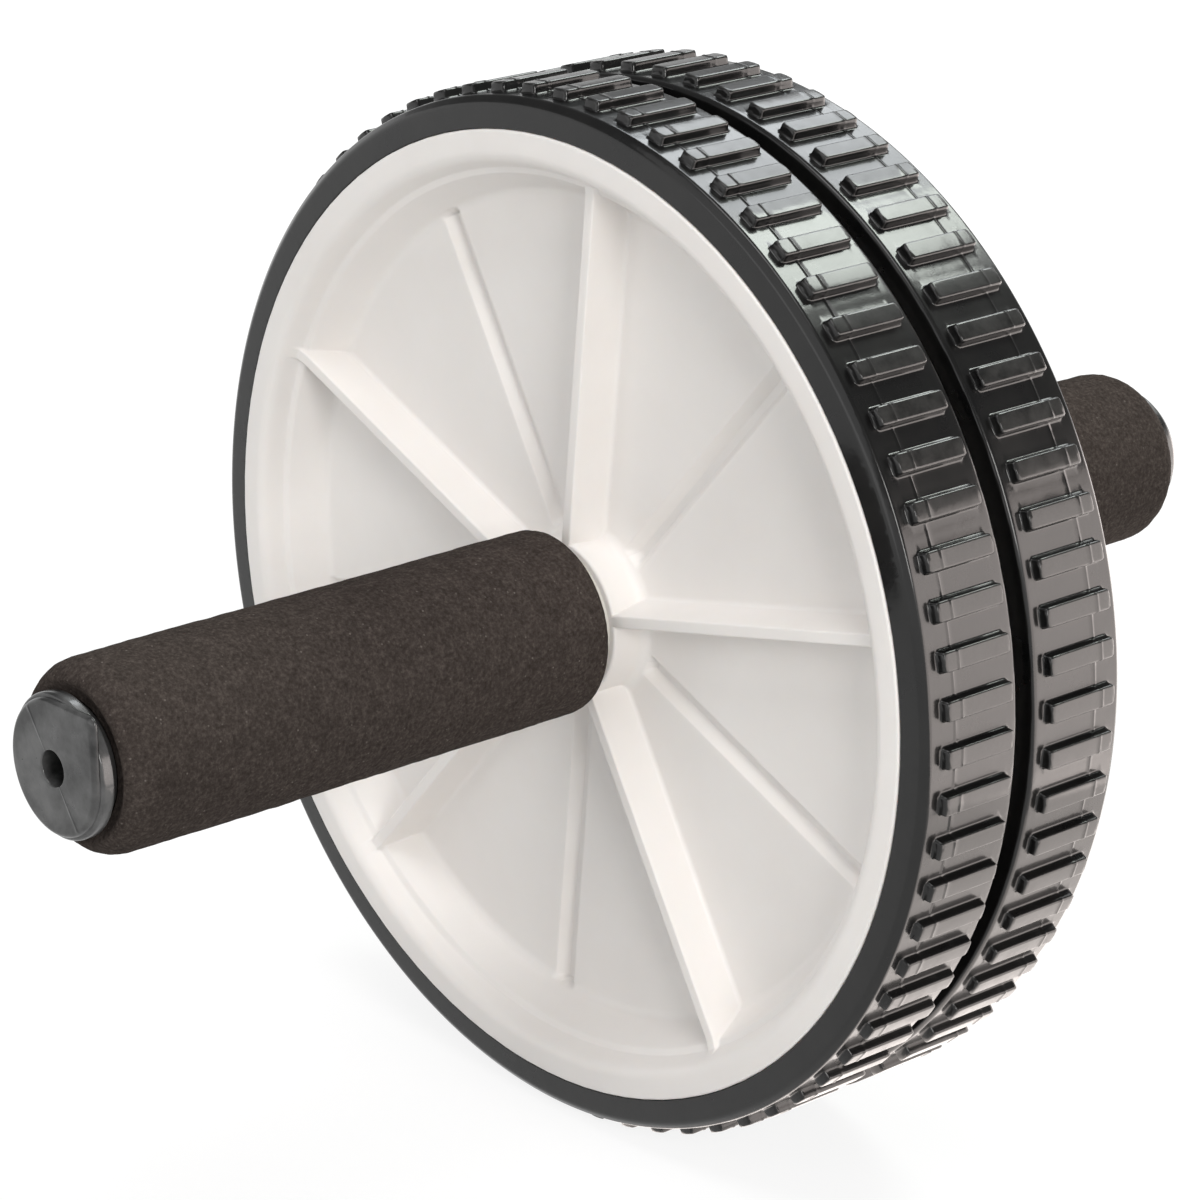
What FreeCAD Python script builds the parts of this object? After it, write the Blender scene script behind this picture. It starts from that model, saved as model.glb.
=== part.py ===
"""Ab wheel roller: two free-spinning wheels on one axle, with a foam handle at each end.

The axle lies along Y and the origin is the middle of the axle, +Z up. The right side is -Y, the left +Y.
Every piece is drawn with its inboard end at its own origin and its outboard end towards +Y. Left pieces
keep that direction and right pieces are turned round, as on the real object, where both sides are alike.
"""
import FreeCAD, Part
import os
import Sketcher

X_AXIS = FreeCAD.Vector(1, 0, 0)
Y_AXIS = FreeCAD.Vector(0, 1, 0)
Z_AXIS = FreeCAD.Vector(0, 0, 1)
SIDES = ("right", "left")
FOAM_ROUND_LIMIT = 0.95  # share of the foam's wall that a rounded end may take

# Driving dimensions in millimetres, degrees and counts
DIMENSIONS = {
    "axle_diameter": 12.0,
    "axle_chamfer": 1.0,
    "running_clearance": 0.06,
    "fit_clearance": 0.05,
    "axial_play": 0.2,
    "spacer_diameter": 24.0,
    "spacer_thickness": 2.3,
    "thrust_washer_diameter": 25.0,
    "thrust_washer_thickness": 0.8,
    "bush_diameter": 18.0,
    "bush_gap": 3.05,
    "bush_flange_diameter": 25.0,
    "bush_flange_thickness": 1.0,
    "hub_diameter": 27.4,
    "hub_inset": 0.35,
    "rim_diameter": 165.4,
    "rim_width": 20.6,
    "rim_lip_width": 5.0,
    "rim_lip_round": 1.2,
    "rim_ledge_depth": 3.6,
    "rim_ledge_slope": 0.5,
    "rim_ledge_width": 1.1,
    "rim_upper_draft": 1.7,
    "rim_lower_draft": 3.6,
    "rim_back_lip_width": 3.5,
    "rim_back_draft": 3.0,
    "web_depth": 10.2,
    "web_thickness": 2.5,
    "web_round": 2.0,
    "rib_count": 5,
    "rib_depth": 3.2,
    "rib_front_width": 2.0,
    "rib_root_width": 5.0,
    "groove_width": 4.6,
    "groove_floor_width": 1.4,
    "groove_depth": 1.9,
    "groove_hub_margin": 3.3,
    "back_rib_width": 4.4,
    "back_rib_inset": 3.4,
    "seat_ridge_width": 5.0,
    "seat_ridge_height": 1.2,
    "seat_ridge_draft": 0.5,
    "tyre_thickness": 5.5,
    "tyre_overhang": 0.25,
    "rim_lip_proud": 0.3,
    "tyre_back_chamfer": 0.8,
    "sidewall_crown": 1.2,
    "shoulder_drop": 1.0,
    "shoulder_width": 1.2,
    "sidewall_round": 2.0,
    "lug_count": 72,
    "lug_height": 1.8,
    "lug_width": 3.5,
    "lug_outer_margin": 2.2,
    "lug_inner_margin": 2.35,
    "lug_root_depth": 1.0,
    "lug_corner_round": 0.8,
    "lug_edge_round": 0.35,
    "handle_length": 97.4,
    "core_diameter": 20.0,
    "screw_pocket_length": 18.4,
    "partition_thickness": 5.0,
    "cap_bore_diameter": 15.0,
    "foam_thickness": 5.85,
    "foam_outer_round": 5.5,
    "foam_inner_round": 2.0,
    "cap_plug_length": 10.0,
    "cap_flange_diameter": 23.6,
    "cap_flange_thickness": 2.3,
    "cap_flange_round": 0.6,
    "cap_plate_step": 0.7,
    "cap_plate_thickness": 1.1,
    "cap_plate_round": 0.4,
    "cap_corner_round": 1.4,
    "cap_hole_diameter": 5.8,
    "screw_diameter": 5.0,
    "screw_hole_clearance": 0.25,
    "screw_length": 16.0,
    "screw_head_diameter": 9.5,
    "screw_head_height": 3.6,
    "screw_head_round": 1.2,
    "screw_recess_span": 5.0,
    "screw_recess_width": 1.3,
    "screw_recess_depth": 1.8,
    "screw_washer_diameter": 11.0,
    "screw_washer_thickness": 1.0,
    "thread_depth": 18.0,
    "thread_point": 1.5,
    "right_wheel_turn": -23.75,
    "left_wheel_turn": 10.0,
    "right_tyre_turn": 0.4,
    "left_tyre_turn": -1.5,
    "right_cap_turn": -90.0,
    "left_cap_turn": 180.0,
}

doc = FreeCAD.newDocument("ab_wheel_roller")
sheet = doc.addObject("Spreadsheet::Sheet", "dims")
for row, (alias, number) in enumerate(DIMENSIONS.items(), 1):
    sheet.set(f"A{row}", alias)
    sheet.set(f"B{row}", str(number))
    sheet.setAlias(f"B{row}", alias)
doc.recompute()

# Radii shared by pieces that fit each other
AXLE_RADIUS = "dims.axle_diameter / 2"
BORE_RADIUS = f"({AXLE_RADIUS} + dims.running_clearance)"
BUSH_RADIUS = "dims.bush_diameter / 2"
HUB_BORE_RADIUS = f"({BUSH_RADIUS} + dims.fit_clearance)"
BUSH_FLANGE_RADIUS = "dims.bush_flange_diameter / 2"
HUB_RADIUS = "dims.hub_diameter / 2"
RIM_RADIUS = "dims.rim_diameter / 2"
LIP_RADIUS = f"({RIM_RADIUS} - dims.rim_lip_width)"
LEDGE_RADIUS = f"({LIP_RADIUS} - dims.rim_upper_draft)"
WALL_RADIUS = f"({LEDGE_RADIUS} - dims.rim_ledge_width)"
WALL_FOOT_RADIUS = f"({WALL_RADIUS} - dims.rim_lower_draft)"
BACK_LIP_RADIUS = f"({RIM_RADIUS} - dims.rim_back_lip_width)"
BACK_FOOT_RADIUS = f"({BACK_LIP_RADIUS} - dims.rim_back_draft)"
TREAD_RADIUS = f"({RIM_RADIUS} + dims.tyre_thickness)"
TYRE_SEAT_RADIUS = f"({RIM_RADIUS} + dims.fit_clearance)"
CORE_RADIUS = "dims.core_diameter / 2"
FOAM_BORE_RADIUS = f"({CORE_RADIUS} + dims.fit_clearance)"
FOAM_RADIUS = f"({FOAM_BORE_RADIUS} + dims.foam_thickness)"
SOCKET_RADIUS = f"({AXLE_RADIUS} + dims.fit_clearance)"
CAP_BORE_RADIUS = "dims.cap_bore_diameter / 2"
CAP_FLANGE_RADIUS = "dims.cap_flange_diameter / 2"
PLATE_RADIUS = f"({CAP_FLANGE_RADIUS} - dims.cap_plate_step)"
SCREW_RADIUS = "dims.screw_diameter / 2"
SCREW_HOLE_RADIUS = f"({SCREW_RADIUS} + dims.screw_hole_clearance)"
THREAD_RADIUS = f"({SCREW_RADIUS} + dims.fit_clearance)"

# Lengths that follow from the pieces beside them
HUB_WIDTH = "(dims.rim_width - dims.rib_depth - dims.hub_inset)"
BUSH_SLEEVE = f"(({HUB_WIDTH} - dims.bush_gap) / 2)"
CAP_SIDE_LENGTH = "(dims.partition_thickness + dims.screw_pocket_length + dims.cap_plug_length)"
SOCKET_DEPTH = f"(dims.handle_length - {CAP_SIDE_LENGTH})"

# Distances along the axle from the centre plane, stacked outwards
INNER_FLANGE = "(dims.spacer_thickness / 2 + dims.axial_play)"
HUB_INNER = f"({INNER_FLANGE} + dims.bush_flange_thickness)"
HUB_OUTER = f"({HUB_INNER} + {HUB_WIDTH})"
OUTER_FLANGE = f"({HUB_OUTER} + dims.bush_flange_thickness)"
THRUST_WASHER = f"({OUTER_FLANGE} + dims.axial_play)"
HANDLE_START = f"({THRUST_WASHER} + dims.thrust_washer_thickness)"
AXLE_END = f"({HANDLE_START} + {SOCKET_DEPTH})"
PARTITION_OUTER = f"({AXLE_END} + dims.partition_thickness)"
SCREW_SEAT = f"({PARTITION_OUTER} + dims.screw_washer_thickness)"
HANDLE_END = f"({HANDLE_START} + dims.handle_length)"
WHEEL_START = f"({HUB_INNER} - dims.hub_inset)"
TYRE_START = f"({WHEEL_START} - dims.tyre_overhang)"

# Heights inside one wheel, from the inboard face of its rim
WEB_FRONT = "(dims.rim_width - dims.web_depth)"
WEB_BACK = f"({WEB_FRONT} - dims.web_thickness)"
RIB_FRONT = "(dims.rim_width - dims.rib_depth)"
SEAT_MIDDLE = "(dims.rim_width / 2)"
RIDGE_TOP_HALF = "(dims.seat_ridge_width / 2)"
RIDGE_FOOT_HALF = f"({RIDGE_TOP_HALF} + dims.seat_ridge_draft)"

# Heights on one tyre, from its own inboard face
TYRE_CROWN = "(dims.tyre_overhang + dims.rim_width - dims.rim_lip_proud)"
TREAD_EDGE = f"({TYRE_CROWN} - dims.sidewall_crown)"


def value(expression):
    """Number that an expression on the sheet gives now."""
    return float(sheet.evalExpression(expression))


def origin_feature(body, role):
    """Origin plane or axis of a body, found by its role."""
    return next(item for item in body.Origin.OriginFeatures if item.Role == role)


def outline(body, name, plane, points):
    """Closed outline of straight lines on an origin plane, every corner tied to the sheet."""
    sketch = body.newObject("Sketcher::SketchObject", name)
    sketch.AttachmentSupport = [(origin_feature(body, plane), "")]
    sketch.MapMode = "FlatFace"
    corners = [FreeCAD.Vector(value(across), value(along), 0) for across, along in points]
    for start, end in zip(corners, corners[1:] + corners[:1]):
        sketch.addGeometry(Part.LineSegment(start, end), False)
    for index in range(len(points)):
        following = (index + 1) % len(points)
        sketch.addConstraint(Sketcher.Constraint("Coincident", index, 2, following, 1))
    for index, point in enumerate(points):
        for direction, expression in zip(("DistanceX", "DistanceY"), point):
            constraint = Sketcher.Constraint(direction, index, 1, value(expression))
            number = sketch.addConstraint(constraint)
            sketch.setExpression(f"Constraints[{number}]", expression)
    return sketch


def turned(body, name, points, kind="PartDesign::Revolution"):
    """Add or cut a full turn about the axle line from (radius, distance) corners."""
    sketch = outline(body, f"{name}_profile", "XY_Plane", points)
    feature = body.newObject(kind, name)
    feature.Profile = sketch
    feature.ReferenceAxis = (sketch, ["V_Axis"])
    feature.Angle = 360
    return feature


def ring(body, name, inner, outer, length):
    """Plain ring of rectangular section from the body's origin outwards."""
    corners = [(inner, "0"), (outer, "0"), (outer, length), (inner, length)]
    return turned(body, name, corners)


def spoke(body, name, points, start, length, turn, kind="PartDesign::Pad"):
    """Bar or channel of constant section that runs outwards along a radius of the wheel.

    The section's corners are (distance along the axle, offset across the bar).
    """
    sketch = outline(body, f"{name}_section", "YZ_Plane", points)
    tilt = FreeCAD.Rotation(X_AXIS, value(turn))
    sketch.AttachmentOffset = FreeCAD.Placement(FreeCAD.Vector(0, 0, 0), tilt)
    sketch.setExpression("AttachmentOffset.Base.y", f"-({start}) * sin({turn})")
    sketch.setExpression("AttachmentOffset.Base.z", f"({start}) * cos({turn})")
    feature = body.newObject(kind, name)
    feature.Profile = sketch
    feature.setExpression("Length", length)
    feature.Reversed = kind == "PartDesign::Pocket"
    return feature


def repeat(body, feature, count, mode="Features"):
    """Repeat a feature, or the whole body so far, evenly round the axle line."""
    doc.recompute()
    pattern = body.newObject("PartDesign::PolarPattern", f"{feature.Name}_pattern")
    if mode == "Features":
        pattern.Originals = [feature]
    pattern.TransformMode = mode
    pattern.Axis = (origin_feature(body, "Y_Axis"), [""])
    pattern.Angle = 360
    pattern.setExpression("Occurrences", count)
    body.Tip = pattern
    return pattern


def round_edges(body, name, radius, wanted):
    """Round every edge of the body so far that the test accepts."""
    doc.recompute()
    base = body.Tip
    picked = [f"Edge{index}" for index, edge in enumerate(base.Shape.Edges, 1) if wanted(edge)]
    if not picked:
        raise ValueError(f"{body.Label}: no edge to round for {name}")
    feature = body.newObject("PartDesign::Fillet", name)
    feature.Base = (base, picked)
    feature.setExpression("Radius", radius)
    return feature


def circle_at(radius, distance):
    """Test for a circular edge round the axle line."""
    wanted_radius = value(radius)
    wanted_distance = value(distance)

    def accept(edge):
        return (isinstance(edge.Curve, Part.Circle)
                and abs(edge.Curve.Radius - wanted_radius) < 1e-4
                and abs(edge.Curve.Center.y - wanted_distance) < 1e-4)

    return accept


def edge_along(axis):
    """Test for a straight edge along an axis."""
    def accept(edge):
        if not isinstance(edge.Curve, Part.Line):
            return False
        return edge.Curve.Direction.cross(axis).Length < 1e-6

    return accept


def edge_in_plane(axis, distance):
    """Test for an edge that lies wholly in a plane square to an axis."""
    level = value(distance)

    def accept(edge):
        ends = [vertex.Point.dot(axis) for vertex in edge.Vertexes]
        return all(abs(end - level) < 1e-4 for end in ends)

    return accept


def new_piece(label):
    """Empty body of one sub-part, named as its file."""
    body = doc.addObject("PartDesign::Body", label)
    body.Label = label
    return body


def seat(body, side, start, turn=0.0):
    """Place a piece with its inboard end at a distance from the centre plane, turned about the axle."""
    facing = FreeCAD.Rotation(Z_AXIS, 180 if side == "right" else 0)
    body.Placement = FreeCAD.Placement(FreeCAD.Vector(0, 0, 0), facing * FreeCAD.Rotation(Y_AXIS, turn))
    sign = "-" if side == "right" else ""
    body.setExpression("Placement.Base.y", f"{sign}({start})")


def make_axle():
    """Steel rod with chamfered ends, each tapped for a clamp screw."""
    body = new_piece("axle_rod")
    half = turned(body, "axle_half", [
        ("0", "0"),
        (AXLE_RADIUS, "0"),
        (AXLE_RADIUS, f"{AXLE_END} - dims.axle_chamfer"),
        (f"{AXLE_RADIUS} - dims.axle_chamfer", AXLE_END),
        (THREAD_RADIUS, AXLE_END),
        (THREAD_RADIUS, f"{AXLE_END} - dims.thread_depth"),
        ("0", f"{AXLE_END} - dims.thread_depth - dims.thread_point"),
    ])
    mirror = body.newObject("PartDesign::Mirrored", "axle_mirror")
    mirror.Originals = [half]
    mirror.MirrorPlane = (origin_feature(body, "XZ_Plane"), [""])
    body.Tip = mirror
    return body


def make_spacer():
    """Ring on the axle that keeps the two wheels apart."""
    body = new_piece("centre_spacer")
    ring(body, "spacer_ring", SOCKET_RADIUS, "dims.spacer_diameter / 2", "dims.spacer_thickness")
    body.setExpression("Placement.Base.y", "-dims.spacer_thickness / 2")
    return body


def make_thrust_washer(side):
    """Steel washer between the outer bush and the end of the handle core."""
    body = new_piece(f"{side}_thrust_washer")
    ring(body, f"{side}_thrust_ring", SOCKET_RADIUS, "dims.thrust_washer_diameter / 2",
         "dims.thrust_washer_thickness")
    seat(body, side, THRUST_WASHER)
    return body


def make_bush(side, place):
    """Flanged hub bush, its flange against the inner or the outer face of the hub."""
    body = new_piece(f"{side}_{place}_bush")
    total = f"({BUSH_SLEEVE} + dims.bush_flange_thickness)"
    if place == "inner":
        start = INNER_FLANGE
        profile = [
            (BORE_RADIUS, "0"),
            (BUSH_FLANGE_RADIUS, "0"),
            (BUSH_FLANGE_RADIUS, "dims.bush_flange_thickness"),
            (BUSH_RADIUS, "dims.bush_flange_thickness"),
            (BUSH_RADIUS, total),
            (BORE_RADIUS, total),
        ]
    else:
        start = f"({HUB_OUTER} - {BUSH_SLEEVE})"
        profile = [
            (BORE_RADIUS, "0"),
            (BUSH_RADIUS, "0"),
            (BUSH_RADIUS, BUSH_SLEEVE),
            (BUSH_FLANGE_RADIUS, BUSH_SLEEVE),
            (BUSH_FLANGE_RADIUS, total),
            (BORE_RADIUS, total),
        ]
    turned(body, f"{side}_{place}_bush_turning", profile)
    seat(body, side, start)
    return body


def make_wheel(side):
    """White moulding: rim with a stepped inner wall, web, hub, front ribs, grooves and back ribs."""
    body = new_piece(f"{side}_wheel")
    ledge_top = "(dims.rim_width - dims.rim_ledge_depth)"
    ledge_foot = f"({ledge_top} - dims.rim_ledge_slope)"
    ridge_radius = f"({RIM_RADIUS} + dims.seat_ridge_height)"
    turned(body, f"{side}_wheel_turning", [
        (HUB_BORE_RADIUS, "dims.hub_inset"),
        (HUB_RADIUS, "dims.hub_inset"),
        (HUB_RADIUS, WEB_BACK),
        (BACK_FOOT_RADIUS, WEB_BACK),
        (BACK_LIP_RADIUS, "0"),
        (RIM_RADIUS, "0"),
        (RIM_RADIUS, f"{SEAT_MIDDLE} - {RIDGE_FOOT_HALF}"),
        (ridge_radius, f"{SEAT_MIDDLE} - {RIDGE_TOP_HALF}"),
        (ridge_radius, f"{SEAT_MIDDLE} + {RIDGE_TOP_HALF}"),
        (RIM_RADIUS, f"{SEAT_MIDDLE} + {RIDGE_FOOT_HALF}"),
        (RIM_RADIUS, "dims.rim_width"),
        (LIP_RADIUS, "dims.rim_width"),
        (LEDGE_RADIUS, ledge_top),
        (WALL_RADIUS, ledge_foot),
        (WALL_FOOT_RADIUS, WEB_FRONT),
        (HUB_RADIUS, WEB_FRONT),
        (HUB_RADIUS, RIB_FRONT),
        (HUB_BORE_RADIUS, RIB_FRONT),
    ])
    lip = circle_at(LIP_RADIUS, "dims.rim_width")
    round_edges(body, f"{side}_lip_round", "dims.rim_lip_round", lip)
    corners = (circle_at(WALL_FOOT_RADIUS, WEB_FRONT), circle_at(HUB_RADIUS, WEB_FRONT))
    round_edges(body, f"{side}_web_round", "dims.web_round", lambda edge: any(c(edge) for c in corners))

    rib_start = f"({HUB_RADIUS} + {BUSH_FLANGE_RADIUS}) / 2"
    rib_length = f"{LIP_RADIUS} - {rib_start}"
    rib_root = f"{WEB_FRONT} - dims.web_thickness / 2"
    rib = spoke(body, f"{side}_rib", [
        (rib_root, "-dims.rib_root_width / 2"),
        (RIB_FRONT, "-dims.rib_front_width / 2"),
        (RIB_FRONT, "dims.rib_front_width / 2"),
        (rib_root, "dims.rib_root_width / 2"),
    ], rib_start, rib_length, "0")
    repeat(body, rib, "dims.rib_count")

    half_pitch = "180 / dims.rib_count"
    back_rib = spoke(body, f"{side}_back_rib", [
        ("dims.back_rib_inset", "-dims.back_rib_width / 2"),
        (rib_root, "-dims.back_rib_width / 2"),
        (rib_root, "dims.back_rib_width / 2"),
        ("dims.back_rib_inset", "dims.back_rib_width / 2"),
    ], rib_start, f"{BACK_LIP_RADIUS} - {rib_start}", half_pitch)
    repeat(body, back_rib, "dims.rib_count")

    doc.recompute()
    before = body.Shape.Volume
    groove_start = f"({HUB_RADIUS} + dims.groove_hub_margin)"
    groove_floor = f"{WEB_FRONT} - dims.groove_depth"
    groove = spoke(body, f"{side}_groove", [
        (groove_floor, "-dims.groove_floor_width / 2"),
        (WEB_FRONT, "-dims.groove_width / 2"),
        (f"{WEB_FRONT} + dims.web_round", "-dims.groove_width / 2"),
        (f"{WEB_FRONT} + dims.web_round", "dims.groove_width / 2"),
        (WEB_FRONT, "dims.groove_width / 2"),
        (groove_floor, "dims.groove_floor_width / 2"),
    ], groove_start, f"{WALL_FOOT_RADIUS} - {groove_start}", half_pitch, "PartDesign::Pocket")
    repeat(body, groove, "dims.rib_count")
    doc.recompute()
    if body.Shape.Volume >= before:
        raise ValueError(f"{body.Label}: the grooves cut nothing")
    seat(body, side, WHEEL_START, value(f"dims.{side}_wheel_turn"))
    return body


def make_tyre(side):
    """Black tyre: ring with a crowned outer sidewall, keyed on the rim, and a row of raised lugs."""
    body = new_piece(f"{side}_tyre")
    lug_start = "dims.lug_inner_margin"
    lug_end = f"({TREAD_EDGE} - dims.lug_outer_margin)"
    lug_top = f"({TREAD_RADIUS} + dims.lug_height)"
    lug_root = f"({TREAD_RADIUS} - dims.lug_root_depth)"
    lug = spoke(body, f"{side}_lug", [
        (lug_start, "-dims.lug_width / 2"),
        (lug_end, "-dims.lug_width / 2"),
        (lug_end, "dims.lug_width / 2"),
        (lug_start, "dims.lug_width / 2"),
    ], lug_root, f"{lug_top} - {lug_root}", "0")
    round_edges(body, f"{side}_lug_corners", "dims.lug_corner_round", edge_along(X_AXIS))
    round_edges(body, f"{side}_lug_top", "dims.lug_edge_round", edge_in_plane(X_AXIS, lug_top))
    repeat(body, lug, "dims.lug_count", "Whole shape")

    seat_middle = f"({SEAT_MIDDLE} + dims.tyre_overhang)"
    groove_radius = f"({TYRE_SEAT_RADIUS} + dims.seat_ridge_height)"
    shoulder_radius = f"({TREAD_RADIUS} - dims.shoulder_width)"
    shoulder = f"({TREAD_EDGE} + dims.shoulder_drop)"
    turned(body, f"{side}_tyre_turning", [
        (TYRE_SEAT_RADIUS, "0"),
        (f"{TREAD_RADIUS} - dims.tyre_back_chamfer", "0"),
        (TREAD_RADIUS, "dims.tyre_back_chamfer"),
        (TREAD_RADIUS, TREAD_EDGE),
        (shoulder_radius, shoulder),
        (TYRE_SEAT_RADIUS, TYRE_CROWN),
        (TYRE_SEAT_RADIUS, f"{seat_middle} + {RIDGE_FOOT_HALF} + dims.fit_clearance"),
        (groove_radius, f"{seat_middle} + {RIDGE_TOP_HALF} + dims.fit_clearance"),
        (groove_radius, f"{seat_middle} - {RIDGE_TOP_HALF} - dims.fit_clearance"),
        (TYRE_SEAT_RADIUS, f"{seat_middle} - {RIDGE_FOOT_HALF} - dims.fit_clearance"),
    ])
    round_edges(body, f"{side}_sidewall_round", "dims.sidewall_round", circle_at(shoulder_radius, shoulder))
    seat(body, side, TYRE_START, value(f"dims.{side}_tyre_turn"))
    return body


def make_handle_core(side):
    """Plastic handle tube: socket for the axle, a partition for the screw and an open end for the cap."""
    body = new_piece(f"{side}_handle_core")
    partition_end = f"({SOCKET_DEPTH} + dims.partition_thickness)"
    turned(body, f"{side}_core_turning", [
        (SOCKET_RADIUS, "0"),
        (CORE_RADIUS, "0"),
        (CORE_RADIUS, "dims.handle_length"),
        (CAP_BORE_RADIUS, "dims.handle_length"),
        (CAP_BORE_RADIUS, partition_end),
        (SCREW_HOLE_RADIUS, partition_end),
        (SCREW_HOLE_RADIUS, SOCKET_DEPTH),
        (SOCKET_RADIUS, SOCKET_DEPTH),
    ])
    seat(body, side, HANDLE_START)
    return body


def make_foam_grip(side):
    """Soft foam sleeve over the handle core, well rounded at the free end."""
    body = new_piece(f"{side}_foam_grip")
    largest_round = f"{FOAM_ROUND_LIMIT} * dims.foam_thickness"
    ring(body, f"{side}_foam_sleeve", FOAM_BORE_RADIUS, FOAM_RADIUS, "dims.handle_length")
    round_edges(body, f"{side}_foam_outer_end", f"min(dims.foam_outer_round; {largest_round})",
                circle_at(FOAM_RADIUS, "dims.handle_length"))
    round_edges(body, f"{side}_foam_inner_end", f"min(dims.foam_inner_round; {largest_round})",
                circle_at(FOAM_RADIUS, "0"))
    seat(body, side, HANDLE_START)
    return body


def make_end_cap(side):
    """Black plug with a flange and a front plate that has one square corner, bored for the screwdriver."""
    body = new_piece(f"{side}_end_cap")
    plug_radius = f"({CAP_BORE_RADIUS} - dims.fit_clearance)"
    hole_radius = "dims.cap_hole_diameter / 2"
    flange_front = "(dims.cap_plug_length + dims.cap_flange_thickness)"
    plate_front = f"({flange_front} + dims.cap_plate_thickness)"
    turned(body, f"{side}_cap_turning", [
        ("0", "0"),
        (plug_radius, "0"),
        (plug_radius, "dims.cap_plug_length"),
        (CAP_FLANGE_RADIUS, "dims.cap_plug_length"),
        (CAP_FLANGE_RADIUS, flange_front),
        (PLATE_RADIUS, flange_front),
        (PLATE_RADIUS, plate_front),
        ("0", plate_front),
    ])
    round_edges(body, f"{side}_cap_flange_round", "dims.cap_flange_round",
                circle_at(CAP_FLANGE_RADIUS, flange_front))
    corner_sketch = outline(body, f"{side}_cap_corner_outline", "XZ_Plane", [
        ("0", "0"),
        (PLATE_RADIUS, "0"),
        (PLATE_RADIUS, PLATE_RADIUS),
        ("0", PLATE_RADIUS),
    ])
    corner_sketch.setExpression("AttachmentOffset.Base.z", f"-{plate_front}")
    corner = body.newObject("PartDesign::Pad", f"{side}_cap_corner")
    corner.Profile = corner_sketch
    corner.setExpression("Length", "dims.cap_plate_thickness")

    def corner_edge(edge):
        middle = edge.BoundBox.Center
        reach = value(PLATE_RADIUS) * 2 ** 0.5
        return abs(FreeCAD.Vector(middle.x, 0, middle.z).Length - reach) < 1e-4

    round_edges(body, f"{side}_cap_corner_round", "dims.cap_corner_round", corner_edge)
    round_edges(body, f"{side}_cap_plate_round", "dims.cap_plate_round", edge_in_plane(Y_AXIS, plate_front))
    doc.recompute()
    before = body.Shape.Volume
    turned(body, f"{side}_cap_hole", [
        ("0", "0"),
        (hole_radius, "0"),
        (hole_radius, plate_front),
        ("0", plate_front),
    ], "PartDesign::Groove")
    doc.recompute()
    if body.Shape.Volume >= before:
        raise ValueError(f"{body.Label}: the hole cuts nothing")
    seat(body, side, f"{HANDLE_END} - dims.cap_plug_length", value(f"dims.{side}_cap_turn"))
    return body


def make_screw_washer(side):
    """Washer between the clamp screw's head and the partition of the handle core."""
    body = new_piece(f"{side}_screw_washer")
    ring(body, f"{side}_screw_washer_ring", SCREW_HOLE_RADIUS, "dims.screw_washer_diameter / 2",
         "dims.screw_washer_thickness")
    seat(body, side, PARTITION_OUTER)
    return body


def make_clamp_screw(side):
    """Pan-head screw with a cross recess, which pulls the handle core onto the axle's end."""
    body = new_piece(f"{side}_clamp_screw")
    head_radius = "dims.screw_head_diameter / 2"
    total = "(dims.screw_length + dims.screw_head_height)"
    turned(body, f"{side}_screw_turning", [
        ("0", "0"),
        (SCREW_RADIUS, "0"),
        (SCREW_RADIUS, "dims.screw_length"),
        (head_radius, "dims.screw_length"),
        (head_radius, total),
        ("0", total),
    ])
    round_edges(body, f"{side}_screw_head_round", "dims.screw_head_round", circle_at(head_radius, total))
    doc.recompute()
    before = body.Shape.Volume
    span = "dims.screw_recess_span / 2"
    slot = "dims.screw_recess_width / 2"
    recess_sketch = outline(body, f"{side}_screw_recess_outline", "XZ_Plane", [
        (slot, slot), (slot, span), (f"-{slot}", span), (f"-{slot}", slot),
        (f"-{span}", slot), (f"-{span}", f"-{slot}"), (f"-{slot}", f"-{slot}"), (f"-{slot}", f"-{span}"),
        (slot, f"-{span}"), (slot, f"-{slot}"), (span, f"-{slot}"), (span, slot),
    ])
    recess_sketch.setExpression("AttachmentOffset.Base.z", f"-{total}")
    recess = body.newObject("PartDesign::Pocket", f"{side}_screw_recess")
    recess.Profile = recess_sketch
    recess.Reversed = True
    recess.setExpression("Length", "dims.screw_recess_depth")
    doc.recompute()
    if body.Shape.Volume >= before:
        raise ValueError(f"{body.Label}: the recess cuts nothing")
    seat(body, side, f"{SCREW_SEAT} - dims.screw_length")
    return body


def build():
    """All sub-parts of the roller."""
    pieces = [make_axle(), make_spacer()]
    for side in SIDES:
        pieces += [
            make_wheel(side),
            make_tyre(side),
            make_bush(side, "inner"),
            make_bush(side, "outer"),
            make_thrust_washer(side),
            make_handle_core(side),
            make_foam_grip(side),
            make_end_cap(side),
            make_screw_washer(side),
            make_clamp_screw(side),
        ]
    doc.recompute()
    return pieces


def check(pieces):
    """Stop if any object failed to build or any sub-part is not one valid solid."""
    for item in doc.Objects:
        if "Invalid" in item.State or "Error" in item.State:
            raise ValueError(f"{item.Label} failed: {item.State}")
    for piece in pieces:
        if piece.Shape.isNull() or not piece.Shape.isValid() or len(piece.Shape.Solids) != 1:
            raise ValueError(f"{piece.Label} is not one valid solid")


def write(pieces):
    """Write one file for each sub-part."""
    os.makedirs("parts", exist_ok=True)
    for piece in pieces:
        piece.Shape.exportStep(f"parts/{piece.Label}.step")


all_pieces = build()
check(all_pieces)
write(all_pieces)
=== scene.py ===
"""Looks of the ab wheel roller: moulded wheels, lugged tyres, foam grips and end caps round its frame.

The axle lies along Y. Each kind of piece is drawn in millimetres with +Y pointing outboard, and then turned
about the axle; the right side is also turned half a turn about Z, as on the real object.
"""
import math
import bpy
import numpy as np
from mathutils import Matrix, Vector


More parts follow.
